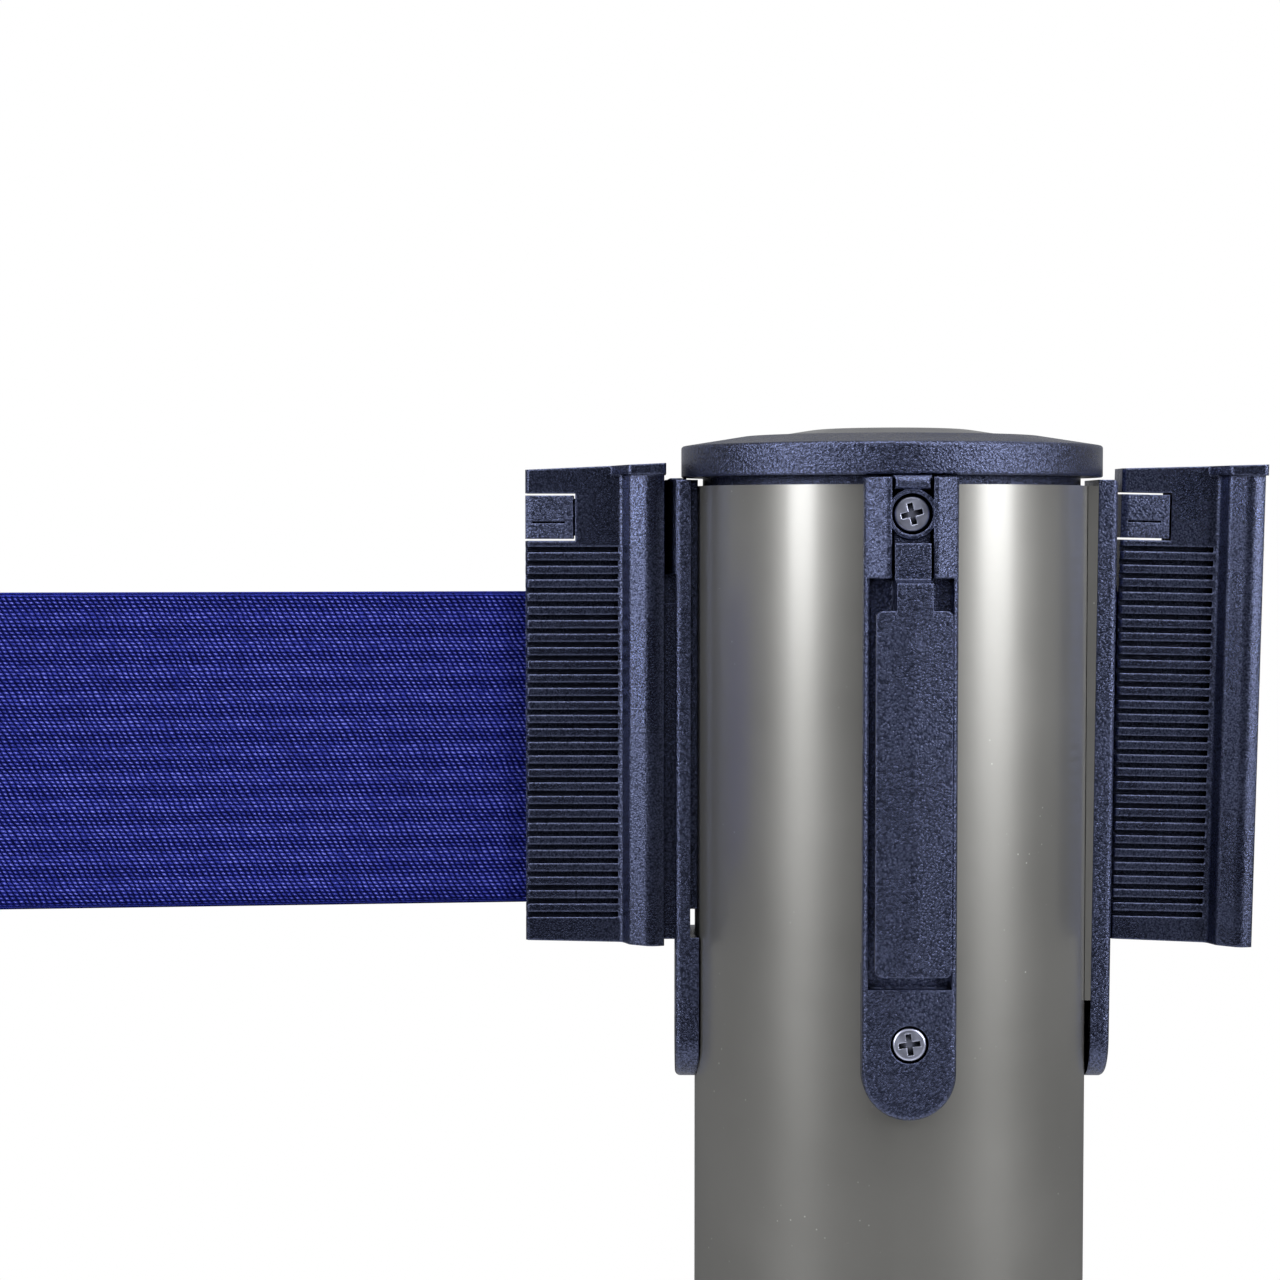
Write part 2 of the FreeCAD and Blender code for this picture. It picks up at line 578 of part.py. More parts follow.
def make_shell(label, side, place):
    """One half of a belt end, with its shelf, channel, belt pocket, button gap and screw holes."""
    def band(low, high):
        """The stretch of Y that this half covers between two distances from the middle plane."""
        return (low, high) if side > 0 else (f"-({high})", f"-({low})")
    shelf = prism("z", [
        ("shelf_start", "0"), ("shelf_start", f"{side} * (grip_half - grip_chamfer)"),
        ("flare_reach", f"{side} * (shelf_half - grip_chamfer)", "shelf_near_round"),
        ("shelf_reach", f"{side} * shelf_half", "shelf_end_round"), ("shelf_reach", "0"),
    ], "shelf_low", "end_high_hook + past")
    whole = joined(shell_body(side), shelf)
    slot_z = ("belt_low - slot_spare", f"{BELT_HIGH} + slot_spare")
    pin_at = ("pin_reach", "0")
    tools = [
        # sloping top and bottom
        prism("y", [
            ("-past", "end_high"), ("shelf_reach + past", "end_high_hook"),
            ("shelf_reach + past", "end_high_hook + 3 * past"), ("-past", "end_high_hook + 3 * past"),
        ], *even("2 * grip_half + 2 * past")),
        prism("y", [
            ("-past", "end_low"), ("-past", "end_low - 3 * past"), ("shelf_reach + past", "end_low - 3 * past"),
            ("shelf_reach + past", "end_low_hook"),
        ], *even("2 * grip_half + 2 * past")),
        # channel for the rail, and the slot that passes the neck
        block(("channel_reach", "hook_reach"), even("hook_half"),
              ("end_low_hook - past", "rail_high + stop_gap")),
        block(("channel_reach", "shelf_reach + past"), even("mouth_half"), ("end_low_hook - past", "slot_top")),
        # belt slot with its flared mouth, and the pocket of the belt pin
        block(("-past", "pin_reach"), even("slot_half"), slot_z),
        prism("z", [
            ("-past", f"{side} * 2 * slot_mouth"), ("-past", "0"), ("2 * slot_mouth", "0"),
            ("2 * slot_mouth", f"{side} * slot_half"),
        ], *slot_z),
        rod("z", "pocket_r", *slot_z, pin_at),
        rod("z", "pin_r + fit_gap", "pin_low", "pin_high", pin_at),
        # lock button's gap and the cavity of its tang
        block(("-past", "button_reach + button_gap"), even("grip_half + past"),
              ("button_low - button_gap", "button_high + button_gap")),
        block(("button_reach", "cavity_reach"), even("cavity_half"), ("cavity_low", "cavity_high")),
    ]
    for height in ("shell_screw_low", "shell_screw_high"):
        at = ("shell_screw_reach", height)
        if side > 0:
            tools.append(rod("y", "shell_screw_r + fit_gap", "0 - past", "grip_half", at))
            tools.append(rod("y", "shell_recess_r", "grip_half - shell_recess_deep", "grip_half + past", at))
        else:
            head_top = "grip_half - shell_recess_deep + shell_head_thick"
            hole_end = f"{head_top} - shell_screw_length - shell_hole_spare"
            tools.append(rod("y", "shell_screw_r + fit_gap", hole_end, "past", at))
    item = cut(whole, *tools)
    node(label, item, place)


def make_button(label, place):
    """The lock button in the grip's corner, with the tang that carries it."""
    head = prism("z", [
        ("0", "-grip_half + button_bevel / 2"), ("button_bevel", "-grip_half"), ("button_reach", "-grip_half"),
        ("button_reach", "grip_half"), ("button_bevel", "grip_half"), ("0", "grip_half - button_bevel / 2"),
    ], "button_low", "button_high")
    slit_z = ("slit_z", "slit_z + slit_tall")
    front_slit = block(("slit_start", "slit_end"), ("-grip_half - past", "-grip_half + slit_deep"), slit_z)
    back_slit = block(("slit_start", "slit_end"), ("grip_half - slit_deep", "grip_half + past"), slit_z)
    tang = block(("button_reach - tang_root", "tang_reach"), ("-tang_front", "-tang_back"),
                 ("tang_low", "tang_high"))
    node(label, joined(cut(head, front_slit, back_slit), tang), place)


def make_fold_spring(label, place):
    """The folded strip spring behind the button's tang, pressed along Y."""
    count = int(number("fold_count"))
    step = "((cavity_half + tang_back - 2 * fit_gap) / fold_count)"
    near_side = []
    far_side = []
    for fold in range(count + 1):
        reach = "fold_near" if fold % 2 == 0 else "fold_far"
        across = f"fit_gap - tang_back + {fold} * {step}"
        near_side.append((reach, across))
        far_side.append((f"{reach} + fold_wide", across))
    middle = "(tang_low + tang_high) / 2"
    strip = prism("z", near_side + far_side[::-1], f"{middle} - fold_half", f"{middle} + fold_half")
    node(label, strip, place)


def make_belt_end(name, place):
    """A whole belt end: two shells, their screws, the belt's pin and loop, the button and its spring."""
    make_shell(f"{name}_front_shell", -1, place)
    make_shell(f"{name}_rear_shell", 1, place)
    at = ("pin_reach", "0")
    pin = rod("z", "pin_r", "pin_low + fit_gap", "pin_high - fit_gap", at)
    node(f"{name}_belt_pin", rounded(pin, "pin_round", lambda edge: len(edge.Vertexes) == 1), place)
    loop = tube("z", "pin_r + fit_gap + 2 * belt_half", "pin_r + fit_gap", "belt_low", BELT_HIGH, at)
    node(f"{name}_belt_loop", loop, place)
    face = number("grip_half - shell_recess_deep + shell_head_thick")
    cross = ("small_cross_half", "small_cross_reach", "small_cross_deep")
    for level, height, twist in (("lower", "shell_screw_low", 20), ("upper", "shell_screw_high", 50)):
        screw = cross_screw(f"{name}_{level}_screw", "shell_head_r", "shell_head_thick", "shell_screw_length",
                            "shell_screw_r", cross, twist)
        spot = FreeCAD.Vector(number("shell_screw_reach"), face, number(height))
        local = FreeCAD.Placement(spot, TURN_TO["y"])
        screw.Placement = place.multiply(local).multiply(screw.Placement)
    make_button(f"{name}_lock_button", place)
    make_fold_spring(f"{name}_button_spring", place)


def belt_end_places():
    """The neighbour's belt end on the left rail, and the post's own, hanging a little askew."""
    incoming = FreeCAD.Placement(FreeCAD.Vector(number("incoming_side"), 0, 0), FreeCAD.Rotation())
    pivot = FreeCAD.Vector(number("end_reach / 2"), 0, number("belt_low + belt_wide / 2"))
    roll = FreeCAD.Rotation(Y_AXIS, number("own_roll"))
    shift = FreeCAD.Vector(number("own_side"), 0, 0)
    own = FreeCAD.Placement(shift, roll, pivot)
    return incoming, own


def make_incoming_belt():
    """The neighbour's belt, leaning to the front, to the hem round its inner rod."""
    run = "(lean_start - lean_end)"
    drop = f"lean_slope * {run}"
    inner = "incoming_side + pin_reach - pin_r - fit_gap - 2 * belt_half"
    belt = prism("z", [
        (inner, "-belt_half"), (inner, "belt_half"), ("lean_start", "belt_half"),
        ("lean_end", f"belt_half - {drop}"), ("lean_end", f"-belt_half - {drop}"), ("lean_start", "-belt_half"),
    ], "belt_low", BELT_HIGH)
    node("incoming_belt", belt)
    ring_r = "hem_rod_r + fit_gap + 2 * belt_half"
    centre = (f"lean_end - ({ring_r})", f"-{drop}")
    node("incoming_belt_rod", rod("z", "hem_rod_r", "belt_low", BELT_HIGH, centre))
    ring = tube("z", ring_r, "hem_rod_r + fit_gap", "belt_low", BELT_HIGH, centre)
    back = f"belt_half - {drop}"
    tail = prism("z", [
        ("lean_end + hem_tail", f"{back} + lean_slope * hem_tail"),
        ("lean_end + hem_tail", f"{back} + lean_slope * hem_tail + 2 * belt_half"),
        ("lean_end - belt_half", f"{back} + 2 * belt_half"), ("lean_end - belt_half", f"{back}"),
        ("lean_end", back),
    ], "belt_low", BELT_HIGH)
    node("incoming_belt_hem", joined(ring, tail))


# ---------------------------------------------------------------- cassette


def spiral_strip(start_r, end_r, pitch, half, end_angle, low, high):
    """A strip wound outward in half turns, anticlockwise from above, to end at a radius and an angle."""
    count = int(2 * (end_r - start_r) / pitch)
    bearing = end_angle - math.pi * count
    axis = FreeCAD.Vector(math.cos(bearing), math.sin(bearing), 0)
    across = FreeCAD.Vector(-axis.y, axis.x, 0)
    floor = FreeCAD.Vector(0, 0, low)
    inner = []
    outer = []
    for turn in range(count):
        # the half turns alternate between two centres, a quarter of the pitch either side of the middle
        side = 1 if turn % 2 == 0 else -1
        radius = end_r - pitch * (count - turn - 0.5) / 2
        centre = floor - axis * (side * pitch / 4)
        for edges, r in ((inner, radius - half), (outer, radius + half)):
            ends = (centre + axis * (side * r), centre + across * (side * r), centre - axis * (side * r))
            edges.append(Part.Arc(*ends))
    first = Part.LineSegment(outer[0].StartPoint, inner[0].StartPoint)
    last = Part.LineSegment(inner[-1].EndPoint, outer[-1].EndPoint)
    outline = [edge.toShape() for edge in [*inner, last, *outer[::-1], first]]
    face = Part.Face(Part.Wire(outline))
    return face.extrude(FreeCAD.Vector(0, 0, high - low))


def lead_tangent():
    """The straight run of the belt from the full roll to its guide: its direction and its two ends."""
    centre = FreeCAD.Vector(number("spool_x"), number("spool_y"), 0)
    guide = FreeCAD.Vector(number("guide_x"), number("guide_front"), 0)
    roll_r = number("roll_end")
    turn_r = number("guide_r + fit_gap + belt_half")
    between = guide - centre
    angle = math.atan2(between.y, between.x) + math.asin((roll_r + turn_r) / between.Length)
    across = FreeCAD.Vector(math.sin(angle), -math.cos(angle), 0)
    return angle, centre + across * roll_r, guide - across * turn_r, guide


def make_belt_lead():
    """The belt from the roll, round its guide and out through the outlet to the belt end."""
    angle, leaves, meets, guide = lead_tangent()
    along = FreeCAD.Vector(math.cos(angle), math.sin(angle), 0)
    across = FreeCAD.Vector(-math.sin(angle), math.cos(angle), 0)
    turn_r = number("guide_r + fit_gap + belt_half")
    half = number("belt_half")
    end_x = number("own_side + pin_reach - pin_r - fit_gap - 2 * belt_half - lead_end_gap")
    middle = (math.pi / 2 + angle / 2)

    def side(offset):
        """One face of the strip: straight run, arc about the guide, straight run."""
        start = leaves + along * number("lead_gap") + across * offset
        bend = meets + across * offset
        top = guide + Y_AXIS * (turn_r + offset)
        halfway = guide + FreeCAD.Vector(math.cos(middle), math.sin(middle), 0) * (turn_r + offset)
        end = FreeCAD.Vector(end_x, top.y, 0)
        edges = [
            Part.LineSegment(start, bend).toShape(), Part.Arc(bend, halfway, top).toShape(),
            Part.LineSegment(top, end).toShape(),
        ]
        return edges, start, end

    near, near_start, near_end = side(-half)
    far, far_start, far_end = side(half)
    caps = [Part.LineSegment(near_start, far_start).toShape(), Part.LineSegment(near_end, far_end).toShape()]
    face = Part.Face(Part.Wire(Part.__sortEdges__(near + far + caps)))
    shape = face.extrude(FreeCAD.Vector(0, 0, number("belt_wide")))
    lift = FreeCAD.Vector(0, 0, number("belt_low"))
    computed("belt_lead", shape, FreeCAD.Placement(lift, FreeCAD.Rotation()))


def make_cassette():
    """The frame that carries the spool: spring cup, lid, top plate, pillars, guides and shaft."""
    spool_at = ("spool_x", "spool_y")
    lid_high = "cup_high + lid_thick"
    pilots = []
    for axis in ("x", "y"):
        for low, high in (("-cup_r - past", "-cup_r + pilot_deep"), ("cup_r - pilot_deep", "cup_r + past")):
            pilots.append(rod(axis, "screw_r + screw_spare", low, high, ("0", "screw_low")))
    cup = cut(
        rod("z", "cup_r", "cup_low", "cup_high"),
        rod("z", "cup_bore_r", "cup_floor", "cup_high + past", spool_at),
        rod("z", "shaft_r + fit_gap", "shaft_low", "cup_floor + past", spool_at), *pilots,
    )
    node("spring_cup", cup)
    lid_holes = [rod("z", "hub_hole_r", "cup_high - past", f"{lid_high} + past", spool_at)]
    top_holes = [rod("z", "shaft_r + fit_gap", "top_low - past", "top_high + past", spool_at)]
    for index, degrees in enumerate((-65, -115, 32), start=1):
        spot = [
            f"{math.cos(math.radians(degrees)):.4f} * pillar_circle",
            f"{math.sin(math.radians(degrees)):.4f} * pillar_circle",
        ]
        low, high = f"{lid_high} - pillar_end", "top_low + pillar_end"
        node(f"cassette_pillar_{index}", rod("z", "pillar_r", low, high, spot))
        lid_holes.append(rod("z", "pillar_r + fit_gap", low, f"{lid_high} + past", spot))
        top_holes.append(rod("z", "pillar_r + fit_gap", "top_low - past", high, spot))
    for name, place in (("front", "guide_front"), ("back", "guide_back")):
        spot = ("guide_x", place)
        low, high = f"{lid_high} - pillar_end", "top_low + pillar_end"
        node(f"belt_guide_{name}", rod("z", "guide_r", low, high, spot))
        lid_holes.append(rod("z", "guide_r + fit_gap", low, f"{lid_high} + past", spot))
        top_holes.append(rod("z", "guide_r + fit_gap", "top_low - past", high, spot))
    node("spring_lid", cut(rod("z", "cup_r", "cup_high", lid_high), *lid_holes))
    node("cassette_top", cut(rod("z", "cup_r", "top_low", "top_high"), *top_holes))
    node("spool_shaft", rod("z", "shaft_r", "shaft_low", "top_high", spool_at))


def make_spool():
    """The spool with its two bushes, the belt wound on it and the power spring round its hub."""
    spool_at = ("spool_x", "spool_y")
    flange_end = "flange_high + flange_thick"
    body = joined(
        rod("z", "hub_r", "hub_low", "flange_low + past", spool_at),
        rod("z", "flange_r", "flange_low", "flange_low + flange_thick", spool_at),
        rod("z", "core_r", "flange_low", flange_end, spool_at),
        rod("z", "flange_r", "flange_high", flange_end, spool_at),
    )
    bushes = (("lower", "hub_low", "hub_low + bush_tall"), ("upper", f"{flange_end} - bush_tall", flange_end))
    holes = [rod("z", "spool_bore_r", "hub_low - past", f"{flange_end} + past", spool_at)]
    for name, low, high in bushes:
        holes.append(rod("z", "bush_r + fit_gap", low, high, spool_at))
        node(f"{name}_bush", tube("z", "bush_r", "shaft_r + fit_gap", low, high, spool_at))
    node("spool", cut(body, *holes))
    centre = FreeCAD.Placement(FreeCAD.Vector(number("spool_x"), number("spool_y"), 0), FreeCAD.Rotation())
    angle = lead_tangent()[0]
    roll = spiral_strip(
        number("roll_start"), number("roll_end"), number("roll_pitch"), number("belt_half"),
        angle - math.pi / 2, number("belt_low"), number(BELT_HIGH),
    )
    computed("belt_roll", roll, centre)
    spring = spiral_strip(
        number("spring_start"), number("spring_end"), number("spring_pitch"), number("spring_half"), 0,
        number("spring_low"), number("spring_high"),
    )
    computed("power_spring", spring, centre)


def check_and_write():
    """Stop at any failed object, then write each piece to its own file."""
    doc.recompute()
    for item in doc.Objects:
        if "Invalid" in item.State or "Error" in item.State:
            raise RuntimeError(f"{item.Label}: {item.State}")
    os.makedirs("parts", exist_ok=True)
    for item in nodes:
        if item.Shape.isNull() or not item.Shape.isValid() or not item.Shape.Solids:
            raise RuntimeError(f"{item.Label}: bad shape")
        item.Shape.exportStep(f"parts/{item.Label}.step")
    print(len(nodes), "pieces")


fill_sheet()
make_base()
make_tube()
make_cap()
for receiver, bearing in (("receiver_front", -90), ("receiver_left", 180), ("receiver_back", 90)):
    make_receiver(receiver, bearing)
make_outlet_plate()
make_plate_screws()
incoming_place, own_place = belt_end_places()
make_belt_end("incoming", incoming_place)
make_incoming_belt()
make_belt_end("own", own_place)
make_cassette()
make_spool()
make_belt_lead()
check_and_write()
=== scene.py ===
import bpy
import bmesh
import json
import math
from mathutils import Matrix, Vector


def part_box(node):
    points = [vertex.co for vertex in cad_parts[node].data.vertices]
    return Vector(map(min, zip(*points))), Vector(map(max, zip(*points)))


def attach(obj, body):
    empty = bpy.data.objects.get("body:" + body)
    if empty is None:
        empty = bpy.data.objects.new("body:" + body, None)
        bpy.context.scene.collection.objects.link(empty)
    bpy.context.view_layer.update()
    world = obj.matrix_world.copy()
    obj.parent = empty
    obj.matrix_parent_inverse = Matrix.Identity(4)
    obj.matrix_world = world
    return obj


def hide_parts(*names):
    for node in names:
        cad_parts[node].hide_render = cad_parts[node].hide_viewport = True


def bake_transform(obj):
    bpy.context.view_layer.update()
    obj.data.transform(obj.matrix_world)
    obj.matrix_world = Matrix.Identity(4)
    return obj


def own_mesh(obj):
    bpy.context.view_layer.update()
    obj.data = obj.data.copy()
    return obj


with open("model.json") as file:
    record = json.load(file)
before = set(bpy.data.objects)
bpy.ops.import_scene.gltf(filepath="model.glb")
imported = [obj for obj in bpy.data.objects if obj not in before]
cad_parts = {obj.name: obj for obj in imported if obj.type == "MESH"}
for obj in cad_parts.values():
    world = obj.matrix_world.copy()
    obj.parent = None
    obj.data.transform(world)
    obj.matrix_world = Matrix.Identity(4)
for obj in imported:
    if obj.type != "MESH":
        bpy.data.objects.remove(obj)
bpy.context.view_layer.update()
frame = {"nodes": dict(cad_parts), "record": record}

MM = 0.001
NODES = frame["nodes"]
WHITE = (1.0, 1.0, 1.0, 1.0)
BELT_THICK = 0.6 * MM
# how far inside its belt end the neighbour's belt bends to the front
BEND_INSET = 1.7 * MM


def add_object(name, data):
    """A new object in the scene that shows a mesh, a light or a camera."""
    item = bpy.data.objects.new(name, data)
    bpy.context.scene.collection.objects.link(item)
    return item


# ---------------------------------------------------------------- shader nodes


def shade(colour, factor=1.0):
    """An opaque colour, darkened or lightened."""
    return tuple(channel * factor for channel in colour) + (1.0,)


class Nodes:
    """A node tree, with short calls for the nodes that the world and the materials share."""

    def __init__(self, tree):
        self.tree = tree

    def add(self, kind, inputs=(), **settings):
        """A node with its settings and inputs, which are numbers, colours or other nodes' outputs."""
        node = self.tree.nodes.new(kind)
        for key, setting in settings.items():
            setattr(node, key, setting)
        for key, value in dict(inputs).items():
            self.feed(node.inputs[key], value)
        return node

    def feed(self, socket, value):
        """Link a node's output to a socket, or set a number or a colour on it."""
        if isinstance(value, bpy.types.NodeSocket):
            self.tree.links.new(value, socket)
        else:
            socket.default_value = value

    def math(self, operation, first, second=0.0, third=0.0):
        """One step of arithmetic."""
        node = self.add("ShaderNodeMath", operation=operation)
        for socket, value in zip(node.inputs, (first, second, third)):
            self.feed(socket, value)
        return node.outputs[0]

    def span(self, value, low, high, to_low=0.0, to_high=1.0):
        """A value's range spread over another one, and held at its ends."""
        inputs = {"Value": value, "From Min": low, "From Max": high, "To Min": to_low, "To Max": to_high}
        return self.add("ShaderNodeMapRange", inputs).outputs[0]

    def ramp(self, value, stops):
        """A value turned into a colour, by pairs of a position and a colour."""
        node = self.add("ShaderNodeValToRGB", {"Fac": value})
        while len(node.color_ramp.elements) < len(stops):
            node.color_ramp.elements.new(0.5)
        for element, (position, colour) in zip(node.color_ramp.elements, stops):
            element.position = position
            element.color = shade(colour)
        return node.outputs[0]


class Shader(Nodes):
    """A material's node tree, with short calls for its textures, colours and bumps."""

    def __init__(self, name):
        self.material = bpy.data.materials.new(name)
        self.material.use_nodes = True
        super().__init__(self.material.node_tree)
        self.surface = self.tree.nodes["Principled BSDF"]
        self.place = self.add("ShaderNodeTexCoord").outputs["Object"]

    def stretched(self, x, y, z):
        """The object's coordinates, scaled on each axis."""
        node = self.add("ShaderNodeMapping", {"Vector": self.place, "Scale": (x, y, z)})
        return node.outputs[0]

    def noise(self, scale, detail=2.0, rough=0.5, vector=None):
        """A cloudy noise with a number of cells to a metre."""
        inputs = {"Scale": scale, "Detail": detail, "Roughness": rough, "Vector": vector or self.place}
        return self.add("ShaderNodeTexNoise", inputs).outputs["Fac"]

    def cells(self, scale, feature="F1", vector=None):
        """The distance to the nearest of the points strewn at a number to a metre."""
        inputs = {"Scale": scale, "Vector": vector or self.place}
        return self.add("ShaderNodeTexVoronoi", inputs, feature=feature).outputs["Distance"]

    def spread(self, noise, to_low=0.0, to_high=1.0):
        """A noise, whose values lie mostly between 0.3 and 0.7, spread over a range."""
        return self.span(noise, 0.3, 0.7, to_low, to_high)

    def hump(self, value):
        """1 where the value is 0, falling in an arc to 0 at one half either side."""
        share = self.math("MULTIPLY", self.math("ABSOLUTE", value), 2.0)
        return self.math("SUBTRACT", 1.0, self.math("POWER", share, 2.0))

    def blend(self, factor, first, second):
        """A mix of two colours."""
        node = self.add("ShaderNodeMix", data_type="RGBA")
        self.feed(node.inputs[0], factor)
        self.feed(node.inputs[6], first)
        self.feed(node.inputs[7], second)
        return node.outputs[2]

    def bump(self, height, depth, normal=None):
        """A bump of a height field from 0 to 1, with its real depth in metres."""
        node = self.add("ShaderNodeBump", {"Height": height, "Distance": depth, "Strength": 1.0})
        if normal is not None:
            self.feed(node.inputs["Normal"], normal)
        return node.outputs[0]

    def soft_edges(self, radius):
        """The surface's normal with its edges rounded to a radius."""
        return self.add("ShaderNodeBevel", {"Radius": radius}, samples=6).outputs[0]

    def rounded_edge_mask(self, radius):
        """1 along an edge that is rounded to a radius, 0 on a flat face."""
        face = self.add("ShaderNodeNewGeometry").outputs["True Normal"]
        inputs = {0: self.soft_edges(radius), 1: face}
        turn = self.add("ShaderNodeVectorMath", inputs, operation="DOT_PRODUCT").outputs["Value"]
        return self.span(turn, 0.985, 0.86)

    def openness(self, reach, shut, clear):
        """0 in a groove or gap that is narrower than the reach, 1 on an open face; the materials darken
        their colour by it, as painted shade.
        """
        node = self.add("ShaderNodeAmbientOcclusion", {"Distance": reach}, samples=8)
        return self.span(node.outputs["AO"], shut, clear)

    def finish(self, **inputs):
        """Set the surface's own sockets; an underscore in a name stands for a space."""
        for key, value in inputs.items():
            self.feed(self.surface.inputs[key.replace("_", " ")], value)
        return self.material


# ---------------------------------------------------------------- materials


def brushed_steel():
    """Satin steel under a clear lacquer, with fine brush lines, dust and short scratches."""
    s = Shader("brushed_steel")
    lines = s.noise(1.0, 3.0, 0.6, s.stretched(40, 40, 4200))
    cloud = s.noise(26.0, 4.0, 0.55)
    dots = s.span(s.cells(520.0), 0.04, 0.09, 1.0, 0.0)
    dust = s.math("MULTIPLY", dots, s.span(s.noise(60.0), 0.56, 0.66))
    nicks = s.span(s.cells(1.0, vector=s.stretched(140, 140, 900)), 0.03, 0.05, 1.0, 0.0)
    scratches = s.math("MULTIPLY", nicks, s.span(s.noise(45.0, 2.0), 0.6, 0.68))
    marks = s.math("MAXIMUM", dust, s.math("MULTIPLY", scratches, 0.5))
    steel = s.blend(s.spread(cloud), shade((0.31, 0.308, 0.296)), shade((0.345, 0.342, 0.33)))
    colour = s.blend(s.math("MULTIPLY", marks, 0.6), steel, shade((0.9, 0.9, 0.88)))
    rough = s.math("ADD", s.spread(lines, 0.37, 0.39), s.spread(cloud, -0.02, 0.02))
    coat_rough = s.math("ADD", s.spread(cloud, 0.16, 0.2), s.math("MULTIPLY", marks, 0.3))
    normal = s.bump(lines, 0.0002 * MM)
    return s.finish(Base_Color=colour, Roughness=rough, Normal=normal, Metallic=0.8, Coat_Weight=0.8,
                    Coat_IOR=1.6, Coat_Roughness=coat_rough)


def plastic(name, colour, grain, depth, rough, edge):
    """Moulded black plastic: a pebbled grain with painted glints on its crests and painted shade in its
    hollows, grooves and gaps, and open edges lighter in patches from wear and a painted highlight.
    """
    painted_shade_reach = 1.6 * MM
    edge_mask_radius = 0.25 * MM
    s = Shader(name)
    pebbles = s.span(s.cells(1.0 / grain, "SMOOTH_F1"), 0.0, 0.75, 1.0, 0.0)
    fine = s.noise(1.9 / grain, 3.0, 0.65)
    wear = s.noise(55.0, 4.0, 0.6)
    height = s.math("ADD", s.math("MULTIPLY", pebbles, 0.55), s.math("MULTIPLY", fine, 0.7))
    # painted shade: open_face falls to 0 in grooves and gaps, and the colour below is darkened there
    open_face = s.openness(painted_shade_reach, 0.3, 0.7)
    # painted glints: the grain's crests on open faces are coloured three times lighter
    crest_glint = s.math("MULTIPLY", s.span(height, 0.74, 0.98), open_face)
    # painted shade: the grain's hollows, and all grooves and gaps, are coloured ten times darker
    hollow_shade = s.span(height, 0.35, 0.6, 0.3, 1.0)
    tone = s.blend(crest_glint, shade(colour, 0.7), shade(colour, 3.0))
    tone = s.blend(s.math("MULTIPLY", hollow_shade, open_face), shade(colour, 0.1), tone)
    # open edges lighter in patches: wear, and a painted edge highlight in the lavender of the lights'
    # reflection
    open_edge = s.math("MULTIPLY", s.rounded_edge_mask(edge_mask_radius), open_face)
    edge_wear_and_highlight = s.math("MULTIPLY", open_edge, s.span(wear, 0.3, 0.6))
    tone = s.blend(s.math("MULTIPLY", edge_wear_and_highlight, 0.6), tone, shade((0.12, 0.14, 0.26)))
    gloss = s.math("MULTIPLY", s.span(height, 0.42, 0.86, 0.3, 1.2), open_face)
    roughness = s.span(wear, 0.32, 0.68, rough - 0.07, rough + 0.07)
    normal = s.bump(height, depth, s.soft_edges(edge))
    return s.finish(Base_Color=tone, Roughness=roughness, Normal=normal, Specular_IOR_Level=gloss,
                    IOR=2.1, Specular_Tint=(0.5, 0.58, 1.0, 1.0))


def smooth_plastic(name, colour, rough, edge):
    """Moulded plastic with a nearly smooth face and faint flow marks."""
    s = Shader(name)
    flow = s.noise(90.0, 3.0, 0.55, s.stretched(1, 1, 0.4))
    fine = s.noise(3200.0, 2.0)
    tone = s.blend(s.spread(flow), shade(colour, 0.92), shade(colour, 1.08))
    roughness = s.spread(flow, rough - 0.04, rough + 0.06)
    normal = s.bump(fine, 0.006 * MM, s.soft_edges(edge))
    return s.finish(Base_Color=tone, Roughness=roughness, Normal=normal)


def metal(name, colour, rough, turn_marks, edge):
    """Plated or machined metal with fine tool marks and a slight mottle, and painted shade in its
    recesses.
    """
    painted_shade_reach = 1.2 * MM
    s = Shader(name)
    marks = s.noise(turn_marks, 3.0, 0.6)
    mottle = s.noise(350.0, 4.0, 0.6)
    tone = s.blend(s.span(mottle, 0.35, 0.7), shade(colour, 0.82), shade(colour, 1.1))
    # painted shade: the colour falls nearly to black in recesses and gaps
    tone = s.blend(s.openness(painted_shade_reach, 0.35, 0.8), shade(colour, 0.02), tone)
    roughness = s.spread(mottle, rough - 0.06, rough + 0.08)
    normal = s.bump(marks, 0.003 * MM, s.soft_edges(edge))
    return s.finish(Base_Color=tone, Roughness=roughness, Normal=normal, Metallic=1.0)


def painted_casting():
    """Cast iron under black paint, with its sandy skin."""
    s = Shader("painted_casting")
    sand = s.noise(900.0, 4.0, 0.7)
    lumps = s.noise(70.0, 3.0, 0.5)
    tone = s.blend(s.spread(lumps), shade((0.03, 0.03, 0.032)), shade((0.055, 0.055, 0.057)))
    normal = s.bump(lumps, 0.4 * MM, s.bump(sand, 0.12 * MM))
    return s.finish(Base_Color=tone, Roughness=s.spread(sand, 0.5, 0.75), Normal=normal)


def rubber():
    """Matt black rubber with a fine bloom."""
    s = Shader("rubber")
    bloom = s.noise(45.0, 4.0, 0.65)
    skin = s.noise(1800.0, 2.0)
    tone = s.blend(s.span(bloom, 0.35, 0.75), shade((0.014, 0.014, 0.015)), shade((0.035, 0.035, 0.037)))
    normal = s.bump(skin, 0.03 * MM, s.soft_edges(0.8 * MM))
    return s.finish(Base_Color=tone, Roughness=s.spread(bloom, 0.62, 0.82), Normal=normal)


